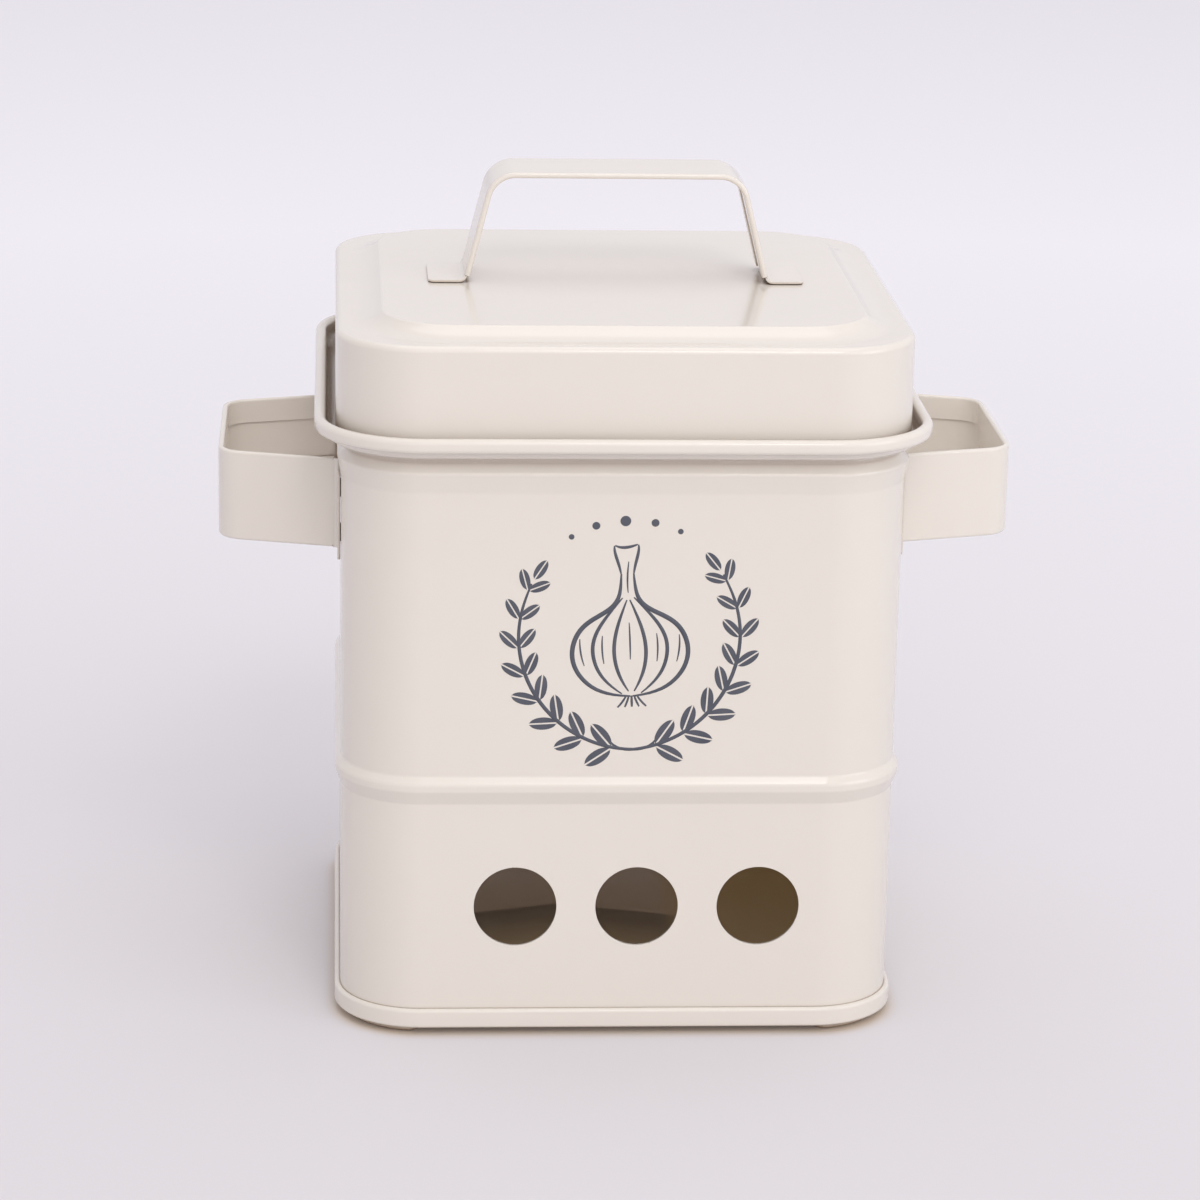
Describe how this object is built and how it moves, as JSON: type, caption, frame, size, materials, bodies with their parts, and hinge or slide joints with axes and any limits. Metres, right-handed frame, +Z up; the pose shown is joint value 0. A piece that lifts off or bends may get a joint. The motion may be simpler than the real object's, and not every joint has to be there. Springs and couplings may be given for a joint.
{
  "type": "garlic keeper",
  "caption": "Square sheet-steel garlic keeper with rounded corners, vented front, hemmed rim, side strap loops and a lift-off lid with a strap handle.",
  "frame": {"origin": "middle of the footprint, on the plane that the feet stand on", "axes": "+Z up; the vented front faces -Y; the side handles stand out along +X and -X"},
  "size_m": [0.145, 0.11, 0.15],
  "materials": {
    "cream_enamel_wall": "smooth gloss cream powder coat on thin sheet steel",
    "cream_enamel_base": "smooth gloss cream powder coat on thin sheet steel",
    "cream_enamel_strap": "smooth gloss cream powder coat on thin sheet steel",
    "cream_enamel_lid": "smooth gloss cream powder coat on thin sheet steel",
    "weld_steel": "grey spot-weld metal, hidden under the tabs"
  },
  "bodies": {
    "keeper": {"body_wall": "cream_enamel_wall", "base_pan": "cream_enamel_base", "left_handle": "cream_enamel_strap", "right_handle": "cream_enamel_strap", "left_handle_welds": "weld_steel", "right_handle_welds": "weld_steel"},
    "lid": {"lid_shell": "cream_enamel_lid", "lid_handle": "cream_enamel_strap", "lid_handle_welds": "weld_steel"}
  },
  "joints": [
    {"name": "lid_lift", "type": "slide", "parent": "keeper", "child": "lid", "axis": [0, 0, 1], "range_m": [0, 0.06]}
  ]
}
